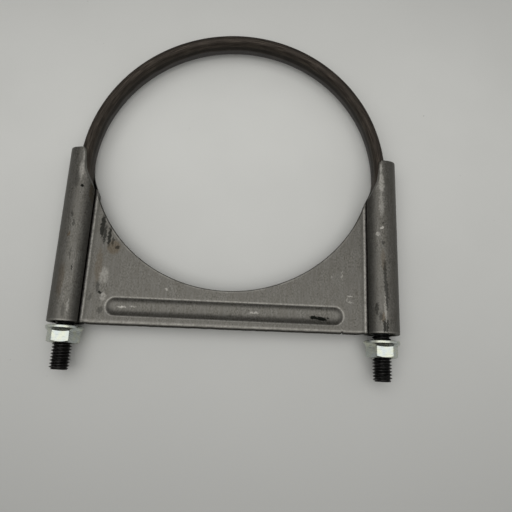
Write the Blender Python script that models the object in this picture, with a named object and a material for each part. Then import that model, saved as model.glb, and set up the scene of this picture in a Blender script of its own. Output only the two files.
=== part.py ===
"""Heavy-duty U-bolt clamp for a 6 inch exhaust pipe.

It is a U-bolt with a flattened arch, a formed sheet-steel saddle that slides on the bolt's two
legs, and two hexagon flange nuts. The clamp lies flat: +Z is the pipe's axis, +X runs from the
left leg to the right one, and +Y runs from the nuts to the crown of the arch. The origin is the
middle of the clamp's outline, on the surface that the saddle's tubes rest on. Units are metres.
"""

import math

import bmesh
import bpy

MM = 0.001

# U-bolt: 3/8 inch bar with 16 threads to the inch.
BAR_RADIUS = 9.525 * MM / 2
THREAD_PITCH = 25.4 * MM / 16
THREAD_DEPTH = 0.613 * THREAD_PITCH
THREAD_LENGTH = 34.9 * MM
THREAD_END_RADIUS = 3.7 * MM
LEG_SPACING = 160.6 * MM
LEG_LENGTHS = {-1: 109.5 * MM, 1: 108.6 * MM}
ARCH_RISE = 82.1 * MM
BAND_THICKNESS = 5.7 * MM
BAND_WIDTH = 12.7 * MM
FLATTENING_START = -27.0 * MM
FLATTENING_END = -7.0 * MM

# Saddle: one sheet with a flat web, whose ends are curled into tubes round the legs.
SHEET = 2.5 * MM
TUBE_RADIUS = 9.15 * MM
TUBE_BOTTOM = -85.9 * MM
TUBE_TOP = 9.0 * MM
WEB_FRONT = 2.0 * MM
WEB_BEND_START = 9.9 * MM
WEB_BEND_RADIUS = 2.2 * MM
WEB_BEND_ANGLE = 60.0
CURL_EDGE_ANGLE = 150.0
CURL_ROOT_ANGLE = 200.0
BORE_ROOT_ANGLE = 215.0
SEAT_CENTRE = 10.3 * MM
SEAT_RADIUS = 76.8 * MM
TUBE_SCALLOP_RADIUS = 79.4 * MM

# Stiffening bead pressed into the web from the front.
BEAD_CENTRE = -77.1 * MM
BEAD_HALF_LENGTH = 60.6 * MM
BEAD_HALF_WIDTH = 4.7 * MM
BEAD_DEPTH = 2.8 * MM

# Flange nuts, 9/16 inch across the flats.
NUT_ACROSS_FLATS = 14.29 * MM
NUT_HEIGHT = 8.4 * MM
NUT_FLANGE_RADIUS = 9.1 * MM
NUT_RIM_HEIGHT = 1.2 * MM
NUT_CONE_HEIGHT = 3.2 * MM
NUT_CHAMFER_RADIUS = 6.9 * MM
NUT_CHAMFER_HEIGHT = 0.8 * MM
NUT_BORE_RADIUS = BAR_RADIUS + 0.3 * MM
NUT_SEATS = {"left": (-1, -88.0 * MM, 7.5), "right": (1, -88.65 * MM, -1.0)}

# Colours of bare metal (linear red, green, blue) and roughness.
FINISHES = {
    "mill_scale_steel": ((0.045, 0.038, 0.034), 0.55),
    "bare_steel": ((0.19, 0.18, 0.165), 0.45),
    "zinc_plate": ((0.72, 0.75, 0.74), 0.25),
}

# Fineness of the faceted surfaces, and the angles above which their edges show.
BAR_SIDES = 12
RINGS_PER_THREAD = 3
SHANK_STEPS = 6
ARCH_STEPS = 36
CURL_STEP = 10
BEND_STEP = 15
SEAT_SIDES = 120
BEAD_SIDES = 24
NUT_SIDES = 36
SHEET_CREASE = 35.0
BAR_CREASE = 50.0
NUT_CREASE = 25.0

# How far a cutting tool stands past the face that it cuts.
CUT_MARGIN = 0.2 * MM
TOOL_MARGIN = 1.0 * MM

HALF_SPACING = LEG_SPACING / 2
WEB_BACK = WEB_FRONT - SHEET
LONGEST_LEG = max(LEG_LENGTHS.values())
OVERALL_LENGTH = LONGEST_LEG + ARCH_RISE + BAND_THICKNESS / 2
ARCH_CENTRE = (0.0, LONGEST_LEG - OVERALL_LENGTH / 2, TUBE_RADIUS)


def clear_scene():
    """Remove every object, so that only the clamp is left."""
    for item in list(bpy.data.objects):
        bpy.data.objects.remove(item)


def make_material(name):
    """Return a metal with the colour and roughness that FINISHES gives it."""
    colour, roughness = FINISHES[name]
    material = bpy.data.materials.new(name)
    material.use_nodes = True
    shader = material.node_tree.nodes["Principled BSDF"]
    shader.inputs["Base Color"].default_value = (*colour, 1.0)
    shader.inputs["Roughness"].default_value = roughness
    shader.inputs["Metallic"].default_value = 1.0
    return material


def add_object(name, mesh, location=ARCH_CENTRE):
    """Link a mesh as an object at this place."""
    item = bpy.data.objects.new(name, mesh)
    item.location = location
    bpy.context.scene.collection.objects.link(item)
    return item


def finish_mesh(name, bm, crease=SHEET_CREASE):
    """Turn a bmesh into a mesh whose normals face out and whose round faces shade smooth."""
    bmesh.ops.recalc_face_normals(bm, faces=bm.faces)
    mesh = bpy.data.meshes.new(name)
    bm.to_mesh(mesh)
    bm.free()
    mesh.shade_smooth()
    mesh.set_sharp_from_angle(angle=math.radians(crease))
    return mesh


def rings_to_bmesh(rings):
    """Bridge rings of points in order, and close the two ends."""
    bm = bmesh.new()
    loops = [[bm.verts.new(point) for point in ring] for ring in rings]
    for first, second in zip(loops, loops[1:]):
        for k in range(len(first)):
            m = (k + 1) % len(first)
            bm.faces.new((first[k], first[m], second[m], second[k]))
    bm.faces.new(loops[0])
    bm.faces.new(loops[-1])
    return bm


def arc(centre, radius, start, end, step):
    """Points on an arc in a plane, from one angle in degrees to another."""
    count = max(1, round(abs(end - start) / step))
    angles = [math.radians(start + (end - start) * k / count) for k in range(count + 1)]
    return [(centre[0] + radius * math.cos(a), centre[1] + radius * math.sin(a)) for a in angles]


def smooth_step(value, start, end):
    """Go smoothly from 0 at start to 1 at end."""
    share = min(1.0, max(0.0, (value - start) / (end - start)))
    return share * share * (3 - 2 * share)


def thread_radius(turn, height):
    """Radius of the leg at a height above its end, and at a turn (0 to 1) round the +Y axis."""
    phase = (height / THREAD_PITCH - turn) % 1.0
    groove = 1 - abs(2 * phase - 1)
    run_out = 1 - smooth_step(height, THREAD_LENGTH - THREAD_PITCH, THREAD_LENGTH)
    chamfer = THREAD_END_RADIUS + height
    return min(chamfer, BAR_RADIUS - THREAD_DEPTH * groove * run_out)


def bar_ring(centre, outward, flatness, height=None):
    """One ring of the bar, from round to flattened, threaded where a height is given."""
    ring = []
    for k in range(BAR_SIDES):
        angle = 2 * math.pi * (k + 0.5) / BAR_SIDES
        across, along = math.cos(angle), math.sin(angle)
        radius = BAR_RADIUS
        if height is not None:
            turn = math.atan2(across * outward[0], along) / (2 * math.pi)
            radius = thread_radius(turn, height)
        side = math.copysign((BAND_WIDTH - BAND_THICKNESS) / 2, along)
        reach = (1 - flatness) * radius * across + flatness * BAND_THICKNESS / 2 * across
        rise = (1 - flatness) * radius * along
        rise += flatness * (side + BAND_THICKNESS / 2 * along)
        ring.append((centre[0] + outward[0] * reach, centre[1] + outward[1] * reach, rise))
    return ring


def leg_rings(side):
    """Rings up one leg, from its threaded end to the foot of the arch."""
    step = THREAD_PITCH / RINGS_PER_THREAD
    count = math.ceil(THREAD_LENGTH / step)
    heights = [k * step for k in range(count + 1)]
    centre = side * HALF_SPACING
    end = -LEG_LENGTHS[side]
    rings = [bar_ring((centre, end + h), (side, 0), 0.0, h) for h in heights]
    for k in range(SHANK_STEPS + 1):
        y = FLATTENING_START + (FLATTENING_END - FLATTENING_START) * k / SHANK_STEPS
        flatness = smooth_step(y, FLATTENING_START, FLATTENING_END)
        rings.append(bar_ring((centre, y), (side, 0), flatness))
    return rings


def arch_rings():
    """Rings of the flattened band over the pipe, from the left leg to the right one."""
    rings = []
    for k in range(ARCH_STEPS + 1):
        angle = math.pi * (1 - k / ARCH_STEPS)
        centre = (HALF_SPACING * math.cos(angle), ARCH_RISE * math.sin(angle))
        normal = (math.cos(angle) / HALF_SPACING, math.sin(angle) / ARCH_RISE)
        length = math.hypot(*normal)
        rings.append(bar_ring(centre, (normal[0] / length, normal[1] / length), 1.0))
    return rings


def make_u_bolt(material):
    """The bar: two threaded round legs joined by an arch that is pressed flat."""
    rings = leg_rings(-1) + arch_rings() + leg_rings(1)[::-1]
    mesh = finish_mesh("u_bolt", rings_to_bmesh(rings), BAR_CREASE)
    mesh.materials.append(material)
    return add_object("u_bolt", mesh)


def curl_section():
    """Section of the right end of the sheet, from the web's back face round to its front face.

    Points are (x, z) from the middle of the leg. The sheet bends back at the web's edge, passes
    behind the leg and comes over its front, so the web's front face becomes the tube's bore.
    """
    bore = TUBE_RADIUS - SHEET
    fillet = (-TUBE_RADIUS - SHEET / 2, WEB_BACK)
    outside = arc((0, 0), TUBE_RADIUS, CURL_ROOT_ANGLE - 360, CURL_EDGE_ANGLE, CURL_STEP)
    inside = arc((0, 0), bore, CURL_EDGE_ANGLE, BORE_ROOT_ANGLE - 360, CURL_STEP)
    centre = (-WEB_BEND_START, WEB_FRONT - WEB_BEND_RADIUS)
    bend = arc(centre, WEB_BEND_RADIUS, 90 - WEB_BEND_ANGLE, 90, BEND_STEP)
    return [fillet] + outside + inside + bend


def sheet_bmesh():
    """The whole sheet's section, drawn out along the legs."""
    right = [(HALF_SPACING + x, z) for x, z in curl_section()]
    left = [(-x, z) for x, z in reversed(right)]
    section = right + left
    rings = [[(x, y, z) for x, z in section] for y in (TUBE_BOTTOM, TUBE_TOP)]
    return rings_to_bmesh(rings)


def turned(profile, sides, axis):
    """A solid turned about the Z or the Y axis from a profile of (radius, distance) points."""
    rings = []
    for radius, distance in profile:
        ring = arc((0, 0), radius, 0, 360, 360 / sides)[:-1]
        if axis == "Z":
            rings.append([(x, y, distance) for x, y in ring])
        else:
            rings.append([(x, distance, z) for x, z in ring])
    return rings_to_bmesh(rings)


def seat_cutter():
    """What the pipe needs: a round seat through the web, and a wider one past the tubes."""
    reach = 2 * TUBE_RADIUS
    profile = [
        (TUBE_SCALLOP_RADIUS, -reach),
        (TUBE_SCALLOP_RADIUS, WEB_BACK - CUT_MARGIN),
        (SEAT_RADIUS, WEB_BACK - CUT_MARGIN),
        (SEAT_RADIUS, WEB_FRONT + CUT_MARGIN),
        (TUBE_SCALLOP_RADIUS, WEB_FRONT + CUT_MARGIN),
        (TUBE_SCALLOP_RADIUS, reach),
    ]
    bm = turned(profile, SEAT_SIDES, "Z")
    bmesh.ops.translate(bm, verts=bm.verts, vec=(0, SEAT_CENTRE, 0))
    return bm


def bead_capsule(radius, centre_height):
    """A round bar with domed ends along the bead. Only its underside meets the web."""
    reach = BEAD_HALF_LENGTH - BEAD_HALF_WIDTH
    quarter = BEAD_SIDES // 4
    profile = [(-reach, k) for k in range(1, quarter + 1)]
    profile += [(reach, k) for k in range(quarter, 0, -1)]
    rings = []
    for end, k in profile:
        angle = math.pi / 2 * k / quarter
        x = end + math.copysign(radius * math.cos(angle), end)
        ring = arc((BEAD_CENTRE, centre_height), radius * math.sin(angle), 0, 360, 360 / BEAD_SIDES)
        rings.append([(x, y, z) for y, z in ring[:-1]])
    return rings_to_bmesh(rings)


def bead_cutters():
    """The pressed groove, and the matching swelling on the web's back."""
    groove_radius = (BEAD_HALF_WIDTH**2 + BEAD_DEPTH**2) / (2 * BEAD_DEPTH)
    height = WEB_FRONT - BEAD_DEPTH + groove_radius
    groove = bead_capsule(groove_radius, height)
    swelling = bead_capsule(groove_radius + SHEET, height)
    middle = (WEB_FRONT + WEB_BACK) / 2
    cut = bmesh.ops.bisect_plane(
        swelling,
        geom=swelling.verts[:] + swelling.edges[:] + swelling.faces[:],
        plane_co=(0, 0, middle),
        plane_no=(0, 0, 1),
        clear_outer=True,
    )
    rim = [item for item in cut["geom_cut"] if isinstance(item, bmesh.types.BMEdge)]
    bmesh.ops.holes_fill(swelling, edges=rim, sides=0)
    return groove, swelling


def shape_with(item, operation, tool_name, bm, location=ARCH_CENTRE):
    """Add a Boolean to an object, with its tool kept as a hidden object."""
    tool = add_object(tool_name, finish_mesh(tool_name, bm), location)
    tool.hide_render = True
    tool.display_type = "WIRE"
    boolean = item.modifiers.new(tool_name, "BOOLEAN")
    boolean.operation = operation
    boolean.object = tool
    boolean.solver = "EXACT"


def make_saddle(material):
    """The sheet-steel saddle, with its seat for the pipe and its bead."""
    mesh = finish_mesh("saddle", sheet_bmesh())
    mesh.materials.append(material)
    saddle = add_object("saddle", mesh)
    groove, swelling = bead_cutters()
    shape_with(saddle, "UNION", "bead_swelling", swelling)
    shape_with(saddle, "DIFFERENCE", "bead_groove", groove)
    shape_with(saddle, "DIFFERENCE", "pipe_seat", seat_cutter())
    return saddle


def hexagon_bmesh(top):
    """The nut's hexagon, from its flange side at 0 down to -top, with two flats square to Z."""
    corner = NUT_ACROSS_FLATS / 2 / math.cos(math.pi / 6)
    ring = arc((0, 0), corner, 0, 360, 60)[:-1]
    return rings_to_bmesh([[(x, y, z) for x, z in ring] for y in (-CUT_MARGIN, -top)])


def make_nut(name, side, seat, turn, material):
    """One flange nut. Its bearing face looks towards the arch, at the height of seat."""
    location = (side * HALF_SPACING, ARCH_CENTRE[1] + seat, ARCH_CENTRE[2])
    mesh = finish_mesh(name, hexagon_bmesh(NUT_HEIGHT), NUT_CREASE)
    mesh.materials.append(material)
    nut = add_object(name, mesh, location)
    wide = NUT_FLANGE_RADIUS + TOOL_MARGIN
    chamfer_start = NUT_HEIGHT - NUT_CHAMFER_HEIGHT
    envelope = [
        (wide, TOOL_MARGIN),
        (wide, -chamfer_start),
        (NUT_CHAMFER_RADIUS, -NUT_HEIGHT),
    ]
    flange = [
        (NUT_FLANGE_RADIUS, 0.0),
        (NUT_FLANGE_RADIUS, -NUT_RIM_HEIGHT),
        (NUT_CHAMFER_RADIUS, -NUT_CONE_HEIGHT),
    ]
    bore = [(NUT_BORE_RADIUS, TOOL_MARGIN), (NUT_BORE_RADIUS, -NUT_HEIGHT - TOOL_MARGIN)]
    tools = [
        ("INTERSECT", "chamfer", envelope),
        ("UNION", "flange", flange),
        ("DIFFERENCE", "bore", bore),
    ]
    for operation, tool, profile in tools:
        shape_with(nut, operation, f"{name}_{tool}", turned(profile, NUT_SIDES, "Y"), location)
    nut.rotation_euler.y = math.radians(turn)
    return nut


def build():
    """Make the four pieces of the clamp."""
    clear_scene()
    make_u_bolt(make_material("mill_scale_steel"))
    make_saddle(make_material("bare_steel"))
    zinc = make_material("zinc_plate")
    for side_name, (side, seat, turn) in NUT_SEATS.items():
        make_nut(f"flange_nut_{side_name}", side, seat, turn, zinc)


build()
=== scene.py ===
"""Looks of a heavy-duty saddle clamp for a 6 inch exhaust pipe.

The clamp has four pieces: a U-bolt with a flattened arch, a formed sheet-steel saddle whose ends are
curled round the bolt's legs, and two zinc-plated flange nuts. Each piece stands for the CAD node of
the same part. Sizes inside the classes are in millimetres from the centre of the arch: x towards the
right leg, y towards the crown, z up along the pipe. Meshes are written in metres, in the frame.
"""

import logging
import math
from collections.abc import Sequence
from dataclasses import dataclass, field
from enum import Enum

import bpy
import numpy as np
from mathutils import Matrix, Vector


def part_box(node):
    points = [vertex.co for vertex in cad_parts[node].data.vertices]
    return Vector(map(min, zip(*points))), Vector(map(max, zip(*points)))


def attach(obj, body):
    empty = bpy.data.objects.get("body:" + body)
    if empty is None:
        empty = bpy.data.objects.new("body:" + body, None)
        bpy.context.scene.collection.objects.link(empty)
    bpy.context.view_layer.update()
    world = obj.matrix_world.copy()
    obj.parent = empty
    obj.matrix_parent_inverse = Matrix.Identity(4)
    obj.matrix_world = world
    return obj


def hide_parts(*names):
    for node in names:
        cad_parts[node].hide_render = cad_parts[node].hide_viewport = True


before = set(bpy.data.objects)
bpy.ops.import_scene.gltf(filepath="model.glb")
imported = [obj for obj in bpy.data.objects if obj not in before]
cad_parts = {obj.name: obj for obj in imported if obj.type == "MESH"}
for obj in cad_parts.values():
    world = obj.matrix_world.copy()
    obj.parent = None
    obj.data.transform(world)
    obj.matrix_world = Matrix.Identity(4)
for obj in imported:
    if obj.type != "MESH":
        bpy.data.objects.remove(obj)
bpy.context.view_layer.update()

LOG = logging.getLogger("saddle_clamp")
MM = 0.001
INCH = 25.4

Array = np.ndarray
Socket = bpy.types.NodeSocket
Tree = bpy.types.NodeTree


# ----------------------------------------
# Small tools
# ----------------------------------------


def linear(hex_colour: str) -> tuple[float, float, float, float]:
    """Turn an sRGB hex colour into a linear one.

    Args:
        hex_colour: Six hex digits after a hash sign.

    Returns:
        Linear red, green and blue, and an alpha of 1.
    """
    parts = [int(hex_colour[i:i + 2], 16) / 255 for i in (1, 3, 5)]
    return (*(p / 12.92 if p <= 0.04045 else ((p + 0.055) / 1.055) ** 2.4 for p in parts), 1.0)


def smooth_step(value: Array, start: float, end: float) -> Array:
    """Go smoothly from 0 at start to 1 at end.

    Args:
        value: Values to judge.
        start: Where the step begins.
        end: Where the step ends.

    Returns:
        Shares from 0 to 1.
    """
    share = np.clip((value - start) / (end - start), 0.0, 1.0)
    return share * share * (3 - 2 * share)


def soft_min(first: Array, second: Array, blend: float) -> Array:
    """Take the smaller of two values, with a rounded corner where they cross.

    Args:
        first: One value.
        second: The other value.
        blend: Width of the rounded corner, in the values' units.

    Returns:
        The rounded minimum.
    """
    gap = first - second
    return (first + second - np.sqrt(gap * gap + blend * blend)) / 2


def hump(value: Array, centre: float, width: float) -> Array:
    """Rise smoothly from 0 to 1 at a centre, and fall again over the same width."""
    return np.exp(-(((value - centre) / width) ** 2))


def direction(angle: float) -> Array:
    """A step of length 1 at an angle in radians, as two coordinates."""
    return np.array((math.cos(angle), math.sin(angle)))


def uneven(where: Array, spacing: float, seed: int) -> Array:
    """Draw a repeatable uneven line, for a sheared edge or a hand-worn one.

    Args:
        where: Positions along the line, in millimetres.
        spacing: Distance between its bumps, in millimetres.
        seed: Seed of the random heights.

    Returns:
        Heights from -1 to 1.
    """
    heights = np.random.default_rng(seed).uniform(-1, 1, 512)
    place = (where / spacing) % len(heights)
    return np.interp(place, np.arange(len(heights) + 1), np.append(heights, heights[0]))


def strongest(*amounts: Array) -> Array:
    """Take the largest of several amounts at each place, whatever their shapes."""
    return np.maximum.reduce(np.broadcast_arrays(*amounts))


def strip_faces(first: Array, second: Array, closed: bool = False) -> list[tuple[int, ...]]:
    """Join two rows of vertices with quads.

    Args:
        first: Vertex numbers of one row.
        second: Vertex numbers of the other row, as many.
        closed: Whether the rows are rings.

    Returns:
        The quads.
    """
    count = len(first) if closed else len(first) - 1
    after = [(k + 1) % len(first) for k in range(count)]
    return [(first[k], first[m], second[m], second[k]) for k, m in zip(range(count), after)]


def grid_faces(numbers: Array, closed: bool = False, flip: bool = False) -> list[tuple[int, ...]]:
    """Join a whole grid of vertices with quads.

    Args:
        numbers: Vertex numbers, one row of the array for each row of the grid.
        closed: Whether each row is a ring.
        flip: Whether the faces look the other way.

    Returns:
        The quads.
    """
    faces = []
    for first, second in zip(numbers, numbers[1:]):
        pair = (second, first) if flip else (first, second)
        faces += strip_faces(*pair, closed)
    return faces


def add_node(tree: Tree, kind: str, inputs: dict | None = None, **settings) -> bpy.types.Node:
    """Add a node with its settings, values and links.

    Args:
        tree: The material's node tree.
        kind: Blender's name for the node.
        inputs: Value for each input, by its name or number. A socket is linked.
        **settings: Value for each of the node's own settings.

    Returns:
        The new node.
    """
    node = tree.nodes.new(kind)
    for key, value in settings.items():
        setattr(node, key, value)
    for key, value in (inputs or {}).items():
        if isinstance(value, Socket):
            tree.links.new(value, node.inputs[key])
        else:
            node.inputs[key].default_value = value
    return node


class Body(Enum):
    """The clamp's moving bodies, by the frame's names."""

    U_BOLT = "u_bolt"
    SADDLE = "saddle"
    NUT_LEFT = "nut_left"
    NUT_RIGHT = "nut_right"


class Side(Enum):
    """A leg of the bolt, by the sign of its x."""

    LEFT = -1
    RIGHT = 1


@dataclass
class Piece:
    """A mesh being built: its points in millimetres from the arch's centre, and its faces."""

    name: str
    points: Array
    faces: list[tuple[int, ...]]
    materials: list[bpy.types.Material]
    face_materials: Sequence[int] = ()
    values: dict[str, Array] = field(default_factory=dict)
    crease: float = 40.0

    def place(self, body: Body, node: str, slot: str, origin: Array) -> bpy.types.Object:
        """Make the object and tie it to its body.

        Args:
            body: The body that it rides on.
            node: The CAD node that it stands for.
            slot: The record's material slot; not used.
            origin: The arch's centre in the frame, in metres.

        Returns:
            The finished object.
        """
        mesh = bpy.data.meshes.new(self.name)
        mesh.from_pydata((self.points * MM + origin).tolist(), [], self.faces)
        mesh.update()
        for material in self.materials:
            mesh.materials.append(material)
        if len(self.face_materials):
            mesh.polygons.foreach_set("material_index", list(self.face_materials))
        for name, amounts in self.values.items():
            layer = mesh.attributes.new(name, "FLOAT", "POINT")
            layer.data.foreach_set("value", amounts.astype(np.float32).ravel())
        mesh.shade_smooth()
        mesh.set_sharp_from_angle(angle=math.radians(self.crease))
        item = bpy.data.objects.new(self.name, mesh)
        bpy.context.scene.collection.objects.link(item)
        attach(item, body.value)
        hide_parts(node)
        LOG.info("%s: %d faces, rides on %s", self.name, len(self.faces), body.value)
        return item


# ----------------------------------------
# Finishes
# ----------------------------------------


@dataclass(frozen=True)
class Finish:
    """What every finish shares: its colours, its gloss, and its grain and relief in millimetres."""

    name: str
    dark: str
    middle: str
    light: str
    roughness: float
    grain: float
    relief: float
    metallic: float = 1.0

    def start(self) -> tuple[Tree, bpy.types.Node, bpy.types.Material]:
        """Make an empty material with its shader joined to the output.

        Returns:
            The node tree, the shader and the material.
        """
        material = bpy.data.materials.new(self.name)
        material.use_nodes = True
        tree = material.node_tree
        tree.nodes.clear()
        shader = add_node(tree, "ShaderNodeBsdfPrincipled", {"Metallic": self.metallic})
        add_node(tree, "ShaderNodeOutputMaterial", {"Surface": shader.outputs["BSDF"]})
        return tree, shader, material

    @staticmethod
    def noise(tree: Tree, size: tuple[float, float, float] | float, detail: float = 3.0) -> Socket:
        """Solid noise whose lumps have this size.

        Args:
            tree: The material's node tree.
            size: Size of a lump in millimetres, along x, y and z or the same every way.
            detail: How many finer layers it has.

        Returns:
            The noise's value, about 0.25 to 0.75.
        """
        place = add_node(tree, "ShaderNodeTexCoord").outputs["Object"]
        scale = tuple(1 / (s * MM) for s in np.broadcast_to(size, 3))
        spread = add_node(tree, "ShaderNodeMapping", {"Vector": place, "Scale": scale})
        lumps = {"Vector": spread.outputs["Vector"], "Scale": 1.0, "Detail": detail}
        return add_node(tree, "ShaderNodeTexNoise", lumps).outputs["Fac"]

    @staticmethod
    def spread(tree: Tree, value: Socket, start: float, end: float, low: float, high: float) -> Socket:
        """Stretch part of a value's range, and hold it at both ends.

        Args:
            tree: The material's node tree.
            value: The value to stretch.
            start: The value that gives low.
            end: The value that gives high.
            low: Result at start and beyond it.
            high: Result at end and beyond it.

        Returns:
            The stretched value.
        """
        limits = {"Value": value, 1: start, 2: end, 3: low, 4: high}
        return add_node(tree, "ShaderNodeMapRange", limits).outputs["Result"]

    @staticmethod
    def blend(tree: Tree, share: Socket | float, first: Socket | tuple, second: Socket | tuple,
              mode: str = "MIX") -> Socket:
        """Blend two colours.

        Args:
            tree: The material's node tree.
            share: How much of the second colour shows.
            first: The colour underneath.
            second: The colour on top.
            mode: Blender's name for the way they blend.

        Returns:
            The blended colour.
        """
        colours = {0: share, 6: first, 7: second}
        node = add_node(tree, "ShaderNodeMix", colours, data_type="RGBA", blend_type=mode)
        return node.outputs[2]

    def tone(self, tree: Tree, base: Socket | tuple, value: Socket, colour: str,
             start: float, end: float, most: float = 1.0) -> Socket:
        """Lay a colour over another where a pattern's value is high.

        Args:
            tree: The material's node tree.
            base: The colour underneath.
            value: The pattern's value.
            colour: The colour on top.
            start: The value where it begins to show.
            end: The value where it shows most.
            most: How much of it shows there.

        Returns:
            The blended colour.
        """
        share = self.spread(tree, value, start, end, 0.0, most)
        return self.blend(tree, share, base, linear(colour))

    def gloss(self, tree: Tree, value: Socket, start: float, end: float,
              smoother: float, rougher: float) -> Socket:
        """Vary the roughness with a pattern.

        Args:
            tree: The material's node tree.
            value: The pattern's value.
            start: The value where the surface is smoothest.
            end: The value where it is roughest.
            smoother: How far the roughness drops at start.
            rougher: How far it rises at end.

        Returns:
            The roughness.
        """
        return self.spread(tree, value, start, end, self.roughness - smoother,
                           self.roughness + rougher)

    def dress(self, tree: Tree, shader: bpy.types.Node, base: Socket, roughness: Socket | float,
              *heights: Socket) -> None:
        """Give the shader its colour, its roughness and its bumps.

        Args:
            tree: The material's node tree.
            shader: The shader.
            base: The colour.
            roughness: The roughness.
            *heights: Height of each layer of bumps.
        """
        tree.links.new(base, shader.inputs["Base Color"])
        if isinstance(roughness, Socket):
            tree.links.new(roughness, shader.inputs["Roughness"])
        else:
            shader.inputs["Roughness"].default_value = roughness
        self.raise_bumps(tree, shader, *heights)

    @staticmethod
    def painted(tree: Tree, name: str) -> Socket:
        """A value that the mesh carries, such as how worn each place is."""
        return add_node(tree, "ShaderNodeAttribute", attribute_name=name).outputs["Fac"]

    def raise_bumps(self, tree: Tree, shader: bpy.types.Node, *heights: Socket) -> None:
        """Turn heights into bumps on the shader, one on another.

        Args:
            tree: The material's node tree.
            shader: The shader that gets the bumps.
            *heights: Height of each layer, 0 to 1 over the finish's relief.
        """
        normal = None
        for height in heights:
            layer = {"Height": height, "Distance": self.relief * MM, "Strength": 1.0}
            if normal:
                layer["Normal"] = normal
            normal = add_node(tree, "ShaderNodeBump", layer).outputs["Normal"]
        tree.links.new(normal, shader.inputs["Normal"])


@dataclass(frozen=True)
class PressedSteel(Finish):
    """Bare mild steel sheet, pressed and curled.

    Bare steel is a brownish grey mirror gone dull: rolling and dies leave a fine mottled grain with
    dark pores, there are cloudy oil smears and a little rust, and worn edges are brighter metal. The
    worn colour also paints highlight along rounded edges, and the oil colour paints shade on dark faces.
    """

    # The worn colour also paints highlight, and the oil colour also paints shade.
    worn_and_highlight: str = "#B9B6AE"
    rust: str = "#54452F"
    oil: str = "#171815"
    pit: str = "#2E2A25"
    drawn_dark: str = "#DEDBD5"
    drawn_light: str = "#FFFFFF"
    drawn_strength: float = 0.45
    drawn: tuple[float, float, float] = (1.1, 7.0, 1.1)
    cloud: float = 5.5
    pore: float = 0.9
    ragged: float = 1.3

    def marks(self, tree: Tree, marks: Sequence["Mark"], place: Socket, origin: Array) -> Socket:
        """Ragged spots at given places, the strongest one showing where they overlap.

        Args:
            tree: The material's node tree.
            marks: The marks, in millimetres from the arch's centre.
            place: Coordinates to judge by, already made ragged.
            origin: The arch's centre in the frame, in metres.

        Returns:
            How strongly any of them shows.
        """
        total = None
        for mark in marks:
            centre = tuple(np.array((mark.x, mark.y, mark.z)) * MM + origin)
            size = tuple(v * MM for v in (mark.width, mark.length, max(mark.width, 1.5)))
            local = add_node(tree, "ShaderNodeMapping",
                             {"Vector": place, "Location": centre, "Scale": size},
                             vector_type="TEXTURE").outputs["Vector"]
            far = add_node(tree, "ShaderNodeVectorMath", {0: local}, operation="LENGTH")
            share = self.spread(tree, far.outputs["Value"], 1.15, 0.75, 0.0, mark.amount)
            if total:
                share = add_node(tree, "ShaderNodeMath", {0: total, 1: share},
                                 operation="MAXIMUM").outputs[0]
            total = share
        return total

    def ragged_place(self, tree: Tree) -> Socket:
        """Object coordinates pushed about by noise, so that a mark judged by them is ragged.

        Args:
            tree: The material's node tree.

        Returns:
            The coordinates, in metres.
        """
        place = add_node(tree, "ShaderNodeTexCoord").outputs["Object"]
        lumps = {"Vector": place, "Scale": 1 / (self.ragged * MM), "Detail": 3.0}
        wobble = add_node(tree, "ShaderNodeTexNoise", lumps).outputs["Color"]
        shift = add_node(tree, "ShaderNodeVectorMath", {0: wobble, 1: (0.5, 0.5, 0.5)},
                         operation="SUBTRACT").outputs[0]
        reach = (2 * self.ragged * MM,) * 3
        return add_node(tree, "ShaderNodeVectorMath", {0: shift, 1: reach, 2: place},
                        operation="MULTIPLY_ADD").outputs[0]

    def build(self, oil_marks: Sequence["Mark"], rust_marks: Sequence["Mark"],
              worn_and_highlight_marks: Sequence["Mark"], origin: Array) -> bpy.types.Material:
        """Make the material with its blemishes.

        Args:
            oil_marks: Dark, oily spots.
            rust_marks: Brown spots.
            worn_and_highlight_marks: Rubbed, bright spots, and painted highlight near the tubes' upper
                edges.
            origin: The arch's centre in the frame, in metres.

        Returns:
            The finished material.
        """
        tree, shader, material = self.start()
        fine = self.noise(tree, (self.grain, self.grain * 1.6, self.grain), 5.0)
        cloud = self.noise(tree, (self.cloud, self.cloud * 1.8, self.cloud), 4.0)
        drawn = self.noise(tree, self.drawn)
        pore = self.noise(tree, (self.pore, self.pore * 1.4, self.pore), 2.0)
        ragged = self.ragged_place(tree)
        base = self.tone(tree, linear(self.dark), fine, self.light, 0.34, 0.66)
        base = self.tone(tree, base, cloud, self.middle, 0.36, 0.62, 0.6)
        tint = self.tone(tree, linear(self.drawn_dark), drawn, self.drawn_light, 0.38, 0.62)
        base = self.blend(tree, self.drawn_strength, base, tint, "MULTIPLY")
        base = self.tone(tree, base, pore, self.pit, 0.66, 0.74, 0.55)
        broken = self.spread(tree, pore, 0.38, 0.55, 0.45, 1.0)
        # Wear and painted highlight take the worn colour; oil and painted shade take the oil colour.
        for shown in (self.painted(tree, "worn_and_highlight"), self.marks(tree, worn_and_highlight_marks, ragged, origin)):
            share = add_node(tree, "ShaderNodeMath", {0: shown, 1: broken}, operation="MULTIPLY")
            base = self.blend(tree, share.outputs[0], base, linear(self.worn_and_highlight))
        for shown, colour in ((self.marks(tree, rust_marks, ragged, origin), self.rust),
                              (self.painted(tree, "oil"), self.oil),
                              (self.marks(tree, oil_marks, ragged, origin), self.oil)):
            base = self.blend(tree, shown, base, linear(colour))
        self.dress(tree, shader, base, self.gloss(tree, fine, 0.3, 0.7, 0.06, 0.1), fine, pore)
        return material


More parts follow.
